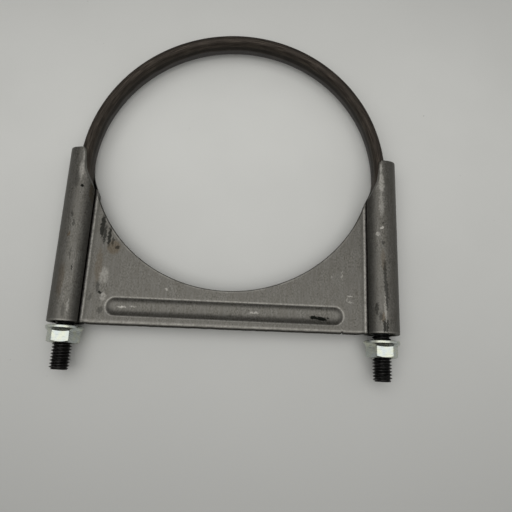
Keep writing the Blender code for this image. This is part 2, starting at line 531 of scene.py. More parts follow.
@dataclass(frozen=True)
class MillScale(Finish):
    """Hot-bent steel bar with its black mill scale, wiped with oil.

    The scale is a nearly black oxide with a brown cast. Bending and pressing rub it into streaks along
    the bar, and the oil gives it a soft satin gloss. On the arch's inner face a painted dark reflection
    draws a line, with the pale board's painted reflection below it.
    """

    board_reflection: str = "#636365"
    dark_reflection_line: str = "#232220"
    streak_width: float = 0.8
    streak_length: float = 9.0
    patch: float = 7.0

    def build(self) -> bpy.types.Material:
        """Make the material.

        Returns:
            The finished material.
        """
        tree, shader, material = self.start()
        place = add_node(tree, "ShaderNodeUVMap", uv_map="bar").outputs["UV"]
        scale = (1 / self.streak_width, 1 / self.streak_length, 1.0)
        laid = add_node(tree, "ShaderNodeMapping", {"Vector": place, "Scale": scale})
        lumps = {"Vector": laid.outputs["Vector"], "Scale": 1.0, "Detail": 4.0}
        streak = add_node(tree, "ShaderNodeTexNoise", lumps).outputs["Fac"]
        fine = self.noise(tree, self.grain, 4.0)
        patch = self.noise(tree, self.patch, 2.0)
        base = self.tone(tree, linear(self.dark), streak, self.light, 0.36, 0.64)
        base = self.tone(tree, base, patch, self.middle, 0.4, 0.6, 0.6)
        # Painted reflections on the arch's inner face: the pale board's, and a dark line.
        for name, colour in (("board_reflection", self.board_reflection), ("dark_reflection_line", self.dark_reflection_line)):
            base = self.blend(tree, self.painted(tree, name), base, linear(colour))
        self.dress(tree, shader, base, self.gloss(tree, fine, 0.3, 0.7, 0.08, 0.1), fine, streak)
        return material


@dataclass(frozen=True)
class OiledThread(Finish):
    """Rolled thread, black with oxide and thread oil.

    The rolled flanks are smooth and the oil lies in the grooves, so the thread is the darkest metal on
    the clamp, with thin glints on its crests.
    """

    patch: float = 2.5

    def build(self) -> bpy.types.Material:
        """Make the material.

        Returns:
            The finished material.
        """
        tree, shader, material = self.start()
        fine = self.noise(tree, self.grain, 4.0)
        patch = self.noise(tree, self.patch, 2.0)
        base = self.tone(tree, linear(self.dark), patch, self.middle, 0.4, 0.6)
        base = self.tone(tree, base, fine, self.light, 0.55, 0.7, 0.6)
        self.dress(tree, shader, base, self.gloss(tree, fine, 0.3, 0.7, 0.08, 0.12), fine)
        return material


@dataclass(frozen=True)
class ZincPlate(Finish):
    """Bright clear zinc plate on a forged nut.

    Zinc is nearly white with a faint yellow-green bloom. The plating keeps the die's fine pitting and
    faint scuffs, so the flats shine softly and not like a mirror.
    """

    bloom: str = "#C5C8B6"
    cloud: float = 3.2
    scuff: tuple[float, float, float] = (2.4, 0.35, 2.4)

    def build(self) -> bpy.types.Material:
        """Make the material.

        Returns:
            The finished material.
        """
        tree, shader, material = self.start()
        fine = self.noise(tree, self.grain, 4.0)
        cloud = self.noise(tree, self.cloud)
        scuff = self.noise(tree, self.scuff, 2.0)
        base = self.tone(tree, linear(self.middle), cloud, self.bloom, 0.38, 0.62)
        base = self.tone(tree, base, fine, self.light, 0.45, 0.7, 0.5)
        base = self.tone(tree, base, scuff, self.dark, 0.58, 0.72, 0.35)
        self.dress(tree, shader, base, self.gloss(tree, scuff, 0.35, 0.7, 0.04, 0.1), fine, scuff)
        return material


@dataclass(frozen=True)
class BoardWithPaintedShade(Finish):
    """Matt background board that the clamp lies on.

    It is pale warm grey, with painted shade that darkens it outwards from the middle, and its uncoated
    face is faintly clouded, with a few specks.
    """

    metallic: float = 0.0
    edge: str = "#B4B4B0"
    speck: str = "#7C7C78"
    speck_size: float = 2.2
    cloud: float = 60.0
    fade_centre: tuple[float, float, float] = (0.0, 45.0, 0.0)
    fade_size: tuple[float, float] = (400.0, 180.0)

    def build(self) -> bpy.types.Material:
        """Make the material.

        Returns:
            The finished material.
        """
        tree, shader, material = self.start()
        cloud, fine = self.noise(tree, self.cloud), self.noise(tree, self.grain)
        speck = self.noise(tree, self.speck_size, 1.0)
        base = self.tone(tree, linear(self.middle), cloud, self.light, 0.35, 0.65)
        base = self.tone(tree, base, fine, self.dark, 0.3, 0.7, 0.12)
        base = self.tone(tree, base, speck, self.speck, 0.80, 0.84, 0.5)
        # Painted shade: the board grows darker outwards from an oval round fade_centre.
        place = add_node(tree, "ShaderNodeTexCoord").outputs["Object"]
        wide, deep = (v * MM for v in self.fade_size)
        oval = add_node(tree, "ShaderNodeMapping",
                        {"Vector": place, "Location": Vector(self.fade_centre) * MM,
                         "Scale": (wide, deep, 1.0)}, vector_type="TEXTURE").outputs["Vector"]
        far = add_node(tree, "ShaderNodeVectorMath", {0: oval}, operation="LENGTH")
        base = self.tone(tree, base, far.outputs["Value"], self.edge, 0.1, 1.2)
        self.dress(tree, shader, base, self.roughness, fine)
        return material


# ----------------------------------------
# The clamp
# ----------------------------------------


@dataclass
class Layout:
    """Where the CAD frame puts things. Lengths are in millimetres from the arch's centre."""

    longest_leg: float = 109.5

    def __post_init__(self) -> None:
        """Read the boxes of the CAD nodes."""
        bolt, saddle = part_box("u_bolt"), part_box("saddle")
        nut = {Side.LEFT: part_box("flange_nut_left"), Side.RIGHT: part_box("flange_nut_right")}
        middle = {s: (Vector(b[0]) + Vector(b[1])) / 2 for s, b in nut.items()}
        height = (middle[Side.LEFT].z + middle[Side.RIGHT].z) / 2
        self.origin = np.array((0.0, Vector(bolt[0]).y + self.longest_leg * MM, height))
        self.leg = (middle[Side.RIGHT].x - middle[Side.LEFT].x) / 2 / MM
        self.tube_radius = (height - Vector(saddle[0]).z) / MM
        self.saddle_bottom, self.saddle_top = (self.above_centre(corner) for corner in saddle)
        self.crown = self.above_centre(bolt[1])
        self.nut_seat = {s: self.above_centre(b[1]) for s, b in nut.items()}
        self.nut_height = self.nut_seat[Side.LEFT] - self.above_centre(nut[Side.LEFT][0])

    def above_centre(self, corner: Sequence[float]) -> float:
        """A box corner's y, in millimetres above the arch's centre."""
        return (Vector(corner).y - self.origin[1]) / MM


@dataclass
class UBolt:
    """The bar: two round threaded legs joined by an arch that is pressed flat."""

    layout: Layout
    scale: bpy.types.Material
    thread: bpy.types.Material
    bar_radius: float = 0.375 * INCH / 2
    pitch: float = INCH / 16
    thread_depth: float = 0.613
    crest_flat: float = 0.125
    root_flat: float = 0.25
    thread_length: float = 34.9
    end_radius: float = 3.7
    end_dish: float = 0.25
    short_leg: float = 0.9
    band_width: float = 12.7
    band_thickness: float = 5.7
    flattening: tuple[float, float] = (-27.0, -7.0)
    sides: int = 48
    rings_per_thread: int = 12
    arch_steps: int = 200

    def groove(self, height: Array, turn: Array) -> Array:
        """Depth of the thread below its crest.

        Args:
            height: Height above the leg's end.
            turn: Place round the leg, in turns.

        Returns:
            Depth, in millimetres.
        """
        phase = np.abs((height / self.pitch - turn + 0.5) % 1.0 - 0.5)
        top, bottom = self.crest_flat / 2, 0.5 - self.root_flat / 2
        share = np.clip((phase - top) / (bottom - top), 0.0, 1.0)
        fade = 1 - smooth_step(height, self.thread_length - self.pitch, self.thread_length)
        return self.thread_depth * self.pitch * share * fade

    def round_outline(self) -> tuple[Array, Array]:
        """The round bar's section: distance outwards and height, as shares of the radius."""
        angle = 2 * math.pi * (np.arange(self.sides) + 0.5) / self.sides
        return np.cos(angle), np.sin(angle)

    def band_outline(self) -> tuple[Array, Array]:
        """The pressed band's section, walked at an even pace from the middle of its outer flat.

        Returns:
            Distance outwards and height of each point, in millimetres.
        """
        half, end = (self.band_width - self.band_thickness) / 2, self.band_thickness / 2
        quarter = half + math.pi / 2 * end
        walked = (np.arange(self.sides) + 0.5) / self.sides * 4 * quarter
        lap, along = np.divmod(walked, 2 * quarter)
        upper = np.minimum(along, 2 * quarter - along)
        turn = np.clip((upper - half) / end, 0.0, math.pi / 2)
        out = end * np.cos(turn) * np.where(along < quarter, 1, -1)
        rise = np.minimum(upper, half) + end * np.sin(turn)
        second = lap > 0
        return np.where(second, -out, out), np.where(second, -rise, rise)

    def ring(self, centre: tuple[float, float], outward: tuple[float, float], flatness: float,
             depth: Array | float = 0.0, radius: float | None = None) -> Array:
        """One ring of points round the bar.

        Args:
            centre: Its middle, as x and y.
            outward: Direction away from the pipe, as x and y.
            flatness: 0 for the round bar, 1 for the pressed band.
            depth: How far the thread cuts in at each point.
            radius: Radius of the round bar here, where it isn't the full one.

        Returns:
            The ring's points.
        """
        across, along = self.round_outline()
        flat_out, flat_rise = self.band_outline()
        size = (self.bar_radius if radius is None else radius) - depth
        out = (1 - flatness) * size * across + flatness * flat_out
        rise = (1 - flatness) * size * along + flatness * flat_rise
        return np.stack([centre[0] + outward[0] * out, centre[1] + outward[1] * out, rise], axis=1)

    def leg_rings(self, side: Side) -> tuple[list[Array], int]:
        """Rings up one leg, from the middle of its end to the foot of the arch.

        Args:
            side: Which leg.

        Returns:
            The rings, and how many of them are threaded.
        """
        sign = side.value
        end = -self.layout.longest_leg + (self.short_leg if side is Side.RIGHT else 0.0)
        centre, outward = sign * self.layout.leg, (sign, 0.0)
        rings = []
        for share in (0.02, 0.4, 0.75, 0.93):
            dish = self.end_dish * (1 - share)
            rings.append(self.ring((centre, end + dish), outward, 0.0,
                                   radius=self.end_radius * share))
        across, along = self.round_outline()
        turn = np.arctan2(across * sign, along) / (2 * math.pi)
        step = self.pitch / self.rings_per_thread
        for height in np.arange(0.0, self.thread_length + step, step):
            depth = self.groove(height, turn)
            depth = np.maximum(depth, self.bar_radius - self.end_radius - height)
            rings.append(self.ring((centre, end + height), outward, 0.0, depth))
        threaded = len(rings)
        start, stop = self.flattening
        # The shank is round up to the first of the flattening's two heights.
        shank = np.linspace(end + self.thread_length + 1.0, start, 20)
        for y in [*shank, *np.linspace(start + 1, stop, 18), -4.5, -2.0]:
            rings.append(self.ring((centre, y), outward, float(smooth_step(y, start, stop))))
        return rings, threaded

    def arch_rings(self) -> list[Array]:
        """Rings of the pressed band over the pipe, from the left leg to the right one.

        Returns:
            The rings.
        """
        rings = []
        wide = self.layout.leg
        tall = self.layout.crown - self.band_thickness / 2
        for k in range(self.arch_steps + 1):
            angle = math.pi * (1 - k / self.arch_steps)
            centre = (wide * math.cos(angle), tall * math.sin(angle))
            normal = Vector((math.cos(angle) / wide, math.sin(angle) / tall)).normalized()
            rings.append(self.ring(centre, (normal.x, normal.y), 1.0))
        return rings

    def build(self) -> bpy.types.Object:
        """Make the bolt.

        Returns:
            The finished object.
        """
        left, threaded = self.leg_rings(Side.LEFT)
        right, _ = self.leg_rings(Side.RIGHT)
        rings = np.array(left + self.arch_rings() + right[::-1])
        count = len(rings)
        numbers = np.arange(count * self.sides).reshape(count, self.sides)
        faces = grid_faces(numbers, closed=True)
        in_thread = np.zeros(count - 1, int)
        in_thread[:threaded] = in_thread[-threaded:] = 1
        marks = np.repeat(in_thread, self.sides).tolist() + [1, 1]
        faces += [tuple(numbers[0][::-1]), tuple(numbers[-1])]
        points = rings.reshape(-1, 3)
        piece = Piece("u_bolt_bar", points, faces, [self.scale, self.thread], marks,
                      self.painted_values(rings))
        item = piece.place(Body.U_BOLT, "u_bolt", "mill_scale_steel", self.layout.origin)
        self.lay_map(item, rings)
        return item

    def painted_values(self, rings: Array) -> dict[str, Array]:
        """Painted reflections on the arch's inner face: a dark line, and the pale board below it.

        Args:
            rings: The bar's rings.

        Returns:
            Amounts for each point, by name.
        """
        x, y, z = rings[..., 0], rings[..., 1], rings[..., 2]
        centre = rings.mean(axis=1)[:, None, :2]
        inward = np.sum((rings[..., :2] - centre) * centre, axis=2) < 0
        arch = smooth_step(y, -8.0, 12.0) * inward
        # The painted dark line wanders by half a millimetre. Below it the board's painted reflection
        # reaches down to the lower edge.
        drift = 0.5 * uneven(x + 2 * y, 9.0, 3)
        dark_reflection_line = arch * smooth_step(z, -1.0 + drift, 0.2 + drift) * (1 - smooth_step(z, 1.8, 2.9))
        board_reflection = arch * 0.5 * (1 - smooth_step(z, -1.4 + drift, -0.2 + drift))
        return {"dark_reflection_line": 0.65 * dark_reflection_line, "board_reflection": board_reflection}

    def lay_map(self, item: bpy.types.Object, rings: Array) -> None:
        """Lay a map round and along the bar, in millimetres, for the streaks.

        Args:
            item: The bolt's object.
            rings: The bar's rings.
        """
        steps = np.linalg.norm(np.diff(rings.mean(axis=1), axis=0), axis=1)
        along = np.concatenate([[0.0], np.cumsum(steps)])
        girth = 2 * math.pi * self.bar_radius
        mesh = item.data
        layer = mesh.uv_layers.new(name="bar")
        corners = np.zeros(len(mesh.loops), int)
        mesh.loops.foreach_get("vertex_index", corners)
        row, place = np.divmod(corners, self.sides)
        mirrored = np.minimum(place, self.sides - place) / self.sides * girth * 2
        layer.data.foreach_set("uv", np.stack([mirrored, along[row]], axis=1).ravel())


@dataclass(frozen=True)
class Mark:
    """A blemish on the saddle: a ragged spot drawn out along the tubes' length."""

    x: float
    y: float
    z: float
    length: float
    width: float
    amount: float


@dataclass
class Saddle:
    """The formed sheet: a web with a seat for the pipe, and ends curled round the legs.

    The sheet is followed in its developed length from the left free edge to the right one. The face
    that is in front on the web turns into the bore of each tube. The seat's radius widens from the
    first of seat_radii to the second between the two places of seat_widens. The nick in the lower
    edge is given by its x, its width and its depth.
    """

    layout: Layout
    steel: PressedSteel
    sheet: float = 2.5
    web_front: float = 2.0
    bend_start: float = 7.8
    bend_radius: float = 1.0
    root_radius: float = 0.8
    free_edge: float = 147.0
    seat_centre: float = 10.3
    seat_radii: tuple[float, float] = (76.9, 79.3)
    seat_widens: tuple[float, float] = (72.5, 78.0)
    top_drop: float = 0.5
    top_slant: float = 1.2
    lean: float = 0.4
    bead_centre: float = -77.1
    bead_half_length: float = 60.4
    bead_half_width: float = 4.5
    bead_depth: float = 1.8
    bead_fullness: float = 2.7
    bead_rim: float = 0.7
    bottom_roll: float = 1.1
    edge_roll: float = 0.4
    coined_roll: float = 0.6
    web_droop: float = 0.5
    rag: float = 0.05
    nick: tuple[float, float, float] = (59.8, 0.35, 0.7)
    bead_band_top: float = -70.0
    web_end: tuple[float, float] = (67.0, 73.0)
    squeeze_start: float = 66.0
    scallop_blend: float = 1.6

    def end_path(self) -> tuple[Array, Array]:
        """Follow the right end of the sheet, from the web's bend to the free edge.

        Returns:
            The front face's points and the back face's, each as x and z from the leg's axis.
        """
        outer = self.layout.tube_radius
        bore = outer - self.sheet
        pivot = np.array((-self.bend_start, self.web_front - self.bend_radius))
        reach = np.linalg.norm(pivot)
        lean = math.atan2(-pivot[1], -pivot[0])
        turned = lean + math.acos((self.bend_radius + bore) / reach)
        bend = np.linspace(math.pi / 2, turned, 11)[1:]
        front = [pivot + self.bend_radius * direction(a) for a in bend]
        entry = turned + math.pi
        # The face is straight between the bend and the bore, in three steps.
        first = bore * direction(entry)
        front += [front[-1] + (first - front[-1]) * s for s in (0.33, 0.67)]
        web_back = self.web_front - self.sheet
        root_z = web_back - self.root_radius
        root = np.array((-math.sqrt((outer + self.root_radius) ** 2 - root_z**2), root_z))
        leave = math.atan2(-root[1], -root[0])
        back = [root + self.root_radius * direction(a)
                for a in np.linspace(math.pi / 2, leave, 11)[1:]]
        back += [outer * direction(a) for a in np.linspace(leave + math.pi, entry, 4)[1:-1]]
        # The scallop climbs steeply in these two stretches, so the columns stand a degree apart.
        steep = ((93.0, 113.0), (247.0, 267.0))
        angle = math.degrees(entry)
        stop = 360 + self.free_edge
        while angle < stop + 1e-6:
            out = direction(math.radians(angle))
            front.append(bore * out)
            back.append(outer * out)
            step = 1.0 if any(a <= angle % 360 < b for a, b in steep) else 5.0
            left = stop - angle
            angle += step if left > 1.5 * step or left < 1e-6 else left
        return np.array(front), np.array(back)

    def columns(self) -> tuple[Array, Array]:
        """Follow both faces of the whole sheet from the left free edge to the right one.

        Returns:
            Points of the front face and of the back face, each as x and z, column by column.
        """
        edge = self.layout.leg - self.bend_start
        # The columns stand closer past the bead's end, where the nick is, and up to the fold.
        half = np.concatenate([np.linspace(0.0, 53.6, 68), np.linspace(54.0, 62.4, 22),
                               np.linspace(63.1, edge - 2.1, 9), np.linspace(edge - 1.8, edge, 8)])
        root = self.layout.leg - math.sqrt(
            (self.layout.tube_radius + self.root_radius) ** 2
            - (self.web_front - self.sheet - self.root_radius) ** 2)
        start = self.squeeze_start
        past = np.maximum(half - start, 0.0)
        squeeze = np.where(past > 0.0, start + past * (root - start) / (edge - start), half)
        faces = []
        for path, across, z in zip(self.end_path(), (half, squeeze),
                                   (self.web_front, self.web_front - self.sheet)):
            web = np.stack([across, np.full_like(across, z)], axis=1)
            right = np.concatenate([web, path + (self.layout.leg, 0.0)])
            faces.append(np.concatenate([right[:0:-1] * (-1, 1), right]))
        return faces[0], faces[1]

    def top_edge(self, face: Array) -> Array:
        """Height of the sheet's upper edge along one face.

        Args:
            face: The face's x and z in each column.

        Returns:
            Heights, with the pipe's seat, the tubes' scallops and the tubes' ends.
        """
        x = np.abs(face[:, 0])
        radius = np.interp(x, self.seat_widens, self.seat_radii)
        rise = np.sqrt(np.maximum(radius**2 - np.minimum(x, radius) ** 2, 0.0))
        scallop = self.seat_centre - rise + 12.0 * np.maximum(x - radius, 0.0)
        outward = np.clip((x - self.layout.leg) / self.layout.tube_radius, 0.0, 1.0)
        top = self.layout.saddle_top - self.top_drop - self.top_slant * (1 - outward**2)
        return soft_min(scallop, top, self.scallop_blend)

    def bottom_edge(self, face: Array) -> Array:
        """Height of the sheet's lower edge along one face, with its uneven shearing and a nick.

        Args:
            face: The face's x and z in each column.

        Returns:
            Heights.
        """
        x = face[:, 0]
        web = 1 - smooth_step(np.abs(x), *self.web_end)
        place, wide, deep = self.nick
        nick = deep * hump(x, place, wide)
        uneven_cut = self.rag * (uneven(x, 3.1, 11) + uneven(x, 0.9, 12)) * web
        lean = self.lean * np.clip(x / self.layout.leg, -1, 1)
        return self.layout.saddle_bottom - self.web_droop * web + uneven_cut + nick + lean

    def bead(self, points: Array) -> tuple[Array, Array, Array]:
        """The pressed bead: how far it moves the sheet's two faces.

        Args:
            points: Points of the front face before the bead is pressed.

        Returns:
            Depth of the front face, depth of the back face, and the painted highlight on the rim.
        """
        reach = self.bead_half_length - self.bead_half_width
        x, y = points[..., 0], points[..., 1]
        away = np.hypot(np.maximum(np.abs(x) - reach, 0.0), y - self.bead_centre)
        hollow = self.bead_depth * (1 - (away / self.bead_half_width) ** self.bead_fullness)
        front = -soft_min(-hollow, np.zeros_like(hollow), self.bead_rim)
        wide = self.bead_half_width + self.sheet * 0.8
        swelling = self.bead_depth * (1 - (away / wide) ** self.bead_fullness)
        back = -soft_min(-swelling, np.zeros_like(swelling), self.bead_rim)
        fade = 1 - smooth_step(away, wide, wide + 1.5)
        flat = np.abs(x) < self.bead_half_length + 6.0
        # Painted highlight along the bead's rim.
        lit = hump(away, self.bead_half_width + 0.35, 0.3)
        return front * fade * flat, back * fade * flat, lit * flat

    def rows(self, bottom: Array, top: Array, slope: Array) -> tuple[Array, Array, Array]:
        """Heights of the grid's rows in each column, close together at both edges.

        Args:
            bottom: The lower edge in each column.
            top: The upper edge in each column.
            slope: How steeply the upper edge climbs in each column.

        Returns:
            The heights, and the distances from the lower and from the upper edge.
        """
        # Rows follow the lower edge's rounding, then run level through the bead, then spread out to
        # the upper edge. Where that edge is steep they stand further apart, up to four times.
        low = np.array((0.0, 0.08, 0.22, 0.45, 0.75, 1.1, 1.45))
        lower = bottom[:, None] + low[None, :]
        band = np.linspace(self.layout.saddle_bottom + 2.1, self.bead_band_top, 42)
        band = np.repeat(band[None, :], len(bottom), axis=0)
        stretch = np.minimum(np.hypot(1.0, slope), 4.0)[:, None]
        high = stretch * np.array((1.0, 0.6, 0.35, 0.15, 0.0))[None, :]
        room = (top - self.bead_band_top)[:, None]
        high = np.minimum(high, 0.5 * room)
        share = np.linspace(0.0, 1.0, 58)[None, 1:-1]
        middle = self.bead_band_top + share * (room - high[:, :1])
        heights = np.concatenate([lower, band, middle, top[:, None] - high], axis=1)
        from_low = heights - bottom[:, None]
        from_high = (top[:, None] - heights) / np.hypot(1.0, slope)[:, None]
        return heights, from_low, from_high

    @staticmethod
    def roll(distance: Array, radius: Array | float) -> Array:
        """How far a rounded edge falls away at a distance from the edge.

        Args:
            distance: Distance from the edge.
            radius: Radius of the rounding.

        Returns:
            The fall.
        """
        left = np.clip(radius - distance, 0.0, radius)
        return radius - np.sqrt(radius**2 - left**2)

    def tube_mark(self, side: Side, y: float, turn: float, length: float, width: float,
                  amount: float) -> Mark:
        """A mark on the outside of a tube.

        Args:
            side: Which tube.
            y: Its height.
            turn: Its place round the tube, in degrees from the front towards +x.
            length: Half its length along the tube.
            width: Half its width.
            amount: How strong it is.

        Returns:
            The mark.
        """
        angle, radius = math.radians(turn), self.layout.tube_radius
        centre = side.value * self.layout.leg
        return Mark(centre + radius * math.sin(angle), y, radius * math.cos(angle), length, width,
                    amount)

    def web_mark(self, x: float, y: float, length: float, width: float, amount: float) -> Mark:
        """A mark on the front of the web."""
        return Mark(x, y, self.web_front, length, width, amount)

    def bead_mark(self, x: float, y: float, length: float, width: float, amount: float) -> Mark:
        """A mark on the floor of the bead."""
        return Mark(x, y, self.web_front - self.bead_depth, length, width, amount)

    def oil_marks(self) -> list[Mark]:
        """Dark, oily spots, pits and streaks.

        Returns:
            The marks.
        """
        tube, web, bead = self.tube_mark, self.web_mark, self.bead_mark
        left, right = Side.LEFT, Side.RIGHT
        return [
            tube(left, -15.2, 14.3, 0.7, 0.95, 1.0),
            tube(left, -31.3, -5.8, 1.6, 0.6, 0.6),
            tube(left, -36.2, 3.0, 2.2, 0.6, 0.5),
            tube(left, -11.0, -6.0, 5.0, 1.6, 0.35),
            tube(left, -52.5, 6.0, 3.4, 0.4, 0.4),
            tube(left, -59.2, 18.0, 1.6, 0.35, 0.9),
            tube(left, -81.0, 8.0, 4.0, 1.0, 0.3),
            tube(right, -73.5, -27.0, 3.5, 0.8, 0.6),
            tube(right, -77.5, -15.4, 2.2, 0.9, 0.5),
            tube(right, -82.0, -4.0, 3.6, 0.8, 0.8),
            tube(right, -82.0, 4.5, 3.6, 0.5, 0.8),
            tube(right, -57.0, 1.0, 9.0, 0.9, 0.65),
            tube(right, -66.0, 5.0, 9.0, 0.8, 0.65),
            tube(right, -28.5, -1.5, 1.0, 0.6, 0.6),
            tube(right, -39.1, -3.1, 1.2, 0.8, 0.55),
            web(-66.9, -35.0, 6.5, 1.3, 0.85),
            web(-65.2, -39.5, 5.5, 0.9, 0.75),
            web(-62.7, -40.5, 5.5, 1.0, 0.85),
            web(-60.6, -43.0, 2.6, 0.7, 0.6),
            web(-57.9, -46.0, 1.2, 1.1, 0.7),
            web(-64.3, -70.3, 0.8, 1.0, 0.9),
            web(-65.8, -67.5, 3.0, 0.8, 0.5),
            web(-63.0, -79.5, 1.8, 1.5, 0.4),
            web(-69.0, -73.0, 2.0, 0.7, 0.4),
            bead(45.8, -78.3, 1.0, 2.4, 1.0),
            bead(49.4, -78.6, 1.1, 2.8, 1.0),
            bead(53.2, -78.2, 0.4, 0.5, 0.8),
        ]

    def rust_marks(self) -> list[Mark]:
        """Brown spots of young rust.

        Returns:
            The marks.
        """
        tube, web = self.tube_mark, self.web_mark
        left, right = Side.LEFT, Side.RIGHT
        return [
            tube(left, -42.0, -7.9, 1.4, 0.8, 0.6),
            tube(left, -17.0, 44.0, 5.0, 0.8, 0.5),
            tube(left, -21.0, 52.0, 3.0, 0.7, 0.4),
            tube(left, -66.0, -14.0, 9.0, 2.0, 0.3),
            tube(right, -77.5, -6.4, 2.4, 1.0, 0.4),
            tube(right, -48.0, -4.0, 6.0, 1.2, 0.25),
            web(-59.8, -46.1, 4.0, 3.5, 0.45),
            web(-66.5, -56.0, 9.0, 2.0, 0.3),
            web(60.0, -33.0, 5.0, 2.5, 0.35),
        ]

    def worn_and_highlight_marks(self) -> list[Mark]:
        """Bright places where the dies or handling rubbed the steel, and painted highlight near the
        tubes' upper edges.

        Returns:
            The marks.
        """
        tube, web, bead = self.tube_mark, self.web_mark, self.bead_mark
        left, right = Side.LEFT, Side.RIGHT
        return [
            # The marks near the top of each tube are painted highlight near its cut upper edge.
            tube(left, 3.0, 8.0, 4.0, 0.7, 0.5),
            tube(left, -6.5, 4.0, 6.0, 1.3, 0.35),
            tube(left, -59.2, 21.0, 8.0, 0.5, 0.12),
            tube(left, -78.5, 20.5, 3.5, 0.6, 0.32),
            tube(right, 3.0, -5.0, 4.0, 0.9, 0.6),
            tube(right, -6.0, -3.0, 6.5, 1.4, 0.6),
            tube(right, -18.0, -6.0, 7.0, 1.4, 0.35),
            tube(right, -31.1, -6.4, 0.7, 1.0, 0.9),
            tube(right, -34.5, -18.8, 1.0, 1.0, 0.6),
            tube(right, -74.0, -1.0, 9.0, 0.6, 0.35),
            web(-63.2, -61.2, 4.5, 2.5, 0.3),
            web(-62.5, -72.5, 2.0, 1.5, 0.35),
            bead(-52.6, -76.9, 0.4, 2.2, 0.8),
            bead(-47.0, -76.6, 0.3, 1.6, 0.5),
            bead(15.0, -77.0, 0.4, 3.0, 0.45),
            web(-30.6, -67.1, 0.7, 0.9, 0.5),
            web(54.7, -57.1, 0.5, 0.6, 0.5),
            web(64.0, -66.6, 0.4, 1.6, 0.5),
            web(64.3, -69.8, 0.5, 1.2, 0.45),
            web(62.3, -68.2, 1.2, 0.35, 0.45),
            web(59.9, -56.0, 2.6, 0.3, 0.4),
        ]

    def painted_values(self, outside: Array, path: Array, low: Array, high: Array,
                       lit: Array) -> dict[str, Array]:
        """Painted shade and painted highlight at each place, with wear along the seat's edge and a dull
        band beside the fold.

        Args:
            outside: Points of the face that shows, on the web the front and on a tube the back.
            path: The front face's x and z in each column.
            low: Distance from the lower edge.
            high: Distance from the upper edge.
            lit: The painted highlight on the bead's rim.

        Returns:
            Amounts for each point, by name.
        """
        x = np.abs(path[:, 0])[:, None]
        fold = self.layout.leg - self.bend_start
        front = (path[:, 1] > self.web_front - 1.2)[:, None] & (x < fold + 1.6)
        along = outside[..., 1]
        # Painted highlight: a bright line just inside the fold, and the bend beyond it painted lighter
        # as a painted reflection, with a dull band beside the line.
        bend = front * strongest(1.3 * hump(x, fold - 0.55, 0.5),
                                 0.8 * smooth_step(x, fold - 0.1, fold + 0.3))
        hollow = front * hump(x, fold - 1.9, 0.5)
        # Painted highlight: bright lines just above the web's rolled lower edge and the tubes' lower
        # rims.
        lower_edge_highlight = hump(low, 1.5, 0.35) * (0.8 + 0.2 * uneven(x, 1.7, 5))
        tube_rim_highlight = hump(low, 0.6, 0.3) * (0.7 + 0.3 * uneven(along + x, 2.3, 6))
        # Painted shade darkens the sheared faces and the tubes' flanks, the seat's lips are rubbed, and
        # the scallops' lips get a painted highlight.
        sheared_face_shade = strongest(1 - smooth_step(low, 0.9, 1.2), 1 - smooth_step(high, 0.3, 0.5))
        side = np.sign(path[:, 0])[:, None]
        turn = np.degrees(np.arctan2(outside[..., 0] - side * self.layout.leg, outside[..., 2]))
        inner = -turn * side
        scallop = ~front * smooth_step(along, -15.0, -6.0) * smooth_step(inner, -2.0, 4.0)
        scallop_highlight = hump(high, 0.8, 0.7) * scallop
        patches = smooth_step(uneven(x + along, 6.0, 8), -0.6, 0.4)
        seat = hump(high, 0.75, 0.3) * patches
        shade = ~front * (x > fold) * strongest(smooth_step(inner, 16.0, 52.0),
                                                0.6 * smooth_step(-inner, 20.0, 60.0))
        # Painted shade goes into the oil value, and painted highlight into the worn value.
        oil = strongest(0.5 * sheared_face_shade * front, 0.2 * hollow, 0.54 * shade)
        worn_and_highlight = strongest(0.6 * lit, bend, 0.5 * lower_edge_highlight * front, 0.3 * seat * front,
                         0.18 * scallop_highlight, 0.5 * tube_rim_highlight * ~front)
        return {"oil": oil, "worn_and_highlight": worn_and_highlight * (1 - 0.7 * oil)}

    def build(self) -> bpy.types.Object:
        """Make the saddle.

        Returns:
            The finished object.
        """
        faces, lows, highs = [], [], []
        paths = self.columns()
        for path in paths:
            bottom, top = self.bottom_edge(paths[0]), self.top_edge(path)
            place = np.concatenate([[0.0], np.cumsum(np.hypot(*np.diff(path, axis=0).T))])
            heights, low, high = self.rows(bottom, top, np.gradient(top, place))
            x, z = (np.repeat(path[:, i:i + 1], heights.shape[1], axis=1) for i in (0, 1))
            faces.append(np.stack([x, heights, z], axis=2))
            lows.append(low)
            highs.append(high)
        shape = faces[0].shape[:2]
        through = paths[1] - paths[0]
        through /= np.linalg.norm(through, axis=1)[:, None]
        inward = np.stack([through[:, 0], 0 * through[:, 0], through[:, 1]], axis=1)[:, None, :]
        sunk_front, sunk_back, lit = self.bead(faces[0])
        ends = smooth_step(np.abs(paths[0][:, 0]), self.layout.leg, self.layout.leg + 3.0)[:, None]
        coined = self.edge_roll + (self.coined_roll - self.edge_roll) * ends
        falls = (sunk_front + self.roll(lows[0], self.bottom_roll) + self.roll(highs[0], self.edge_roll),
                 sunk_back - self.roll(lows[1], self.edge_roll) - self.roll(highs[1], coined))
        front, back = (face + fall[..., None] * inward for face, fall in zip(faces, falls))
        web = (np.abs(paths[0][:, 0]) < self.layout.leg - self.bend_start + 1.6)[:, None, None]
        values = self.painted_values(np.where(web, front, back), paths[0], lows[0],
                                     np.where(web[..., 0], highs[0], highs[1]), lit)
        numbers = np.arange(shape[0] * shape[1]).reshape(shape)
        behind = numbers + numbers.size
        quads = grid_faces(numbers) + grid_faces(behind, flip=True)
        quads += strip_faces(numbers[:, 0][::-1], behind[:, 0][::-1])
        quads += strip_faces(numbers[:, -1], behind[:, -1])
        quads += strip_faces(numbers[0], behind[0]) + strip_faces(numbers[-1][::-1], behind[-1][::-1])
